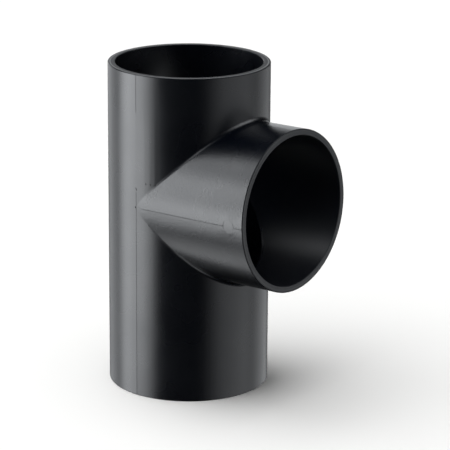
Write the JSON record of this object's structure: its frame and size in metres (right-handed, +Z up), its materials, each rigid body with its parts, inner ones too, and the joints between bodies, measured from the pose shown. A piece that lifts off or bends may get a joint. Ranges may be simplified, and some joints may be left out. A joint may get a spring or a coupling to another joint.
{
  "type": "downpipe branch",
  "caption": "Black polyethylene pipe branch in one piece: an upright run with a short side branch of the same size, rising slightly, and plain ends for butt welding.",
  "frame": {"origin": "middle of the run's lower end, on the run's axis", "axes": "+Z up the run's axis; +X towards the branch, whose axis rises 1.5 degrees from it; -Y is the side with the moulding marks"},
  "size_m": [0.1474, 0.1106, 0.224],
  "materials": {
    "polyethylene": "black, smooth as moulded, with a soft sheen"
  },
  "bodies": {
    "root": {"branch_fitting": "polyethylene"}
  },
  "joints": []
}
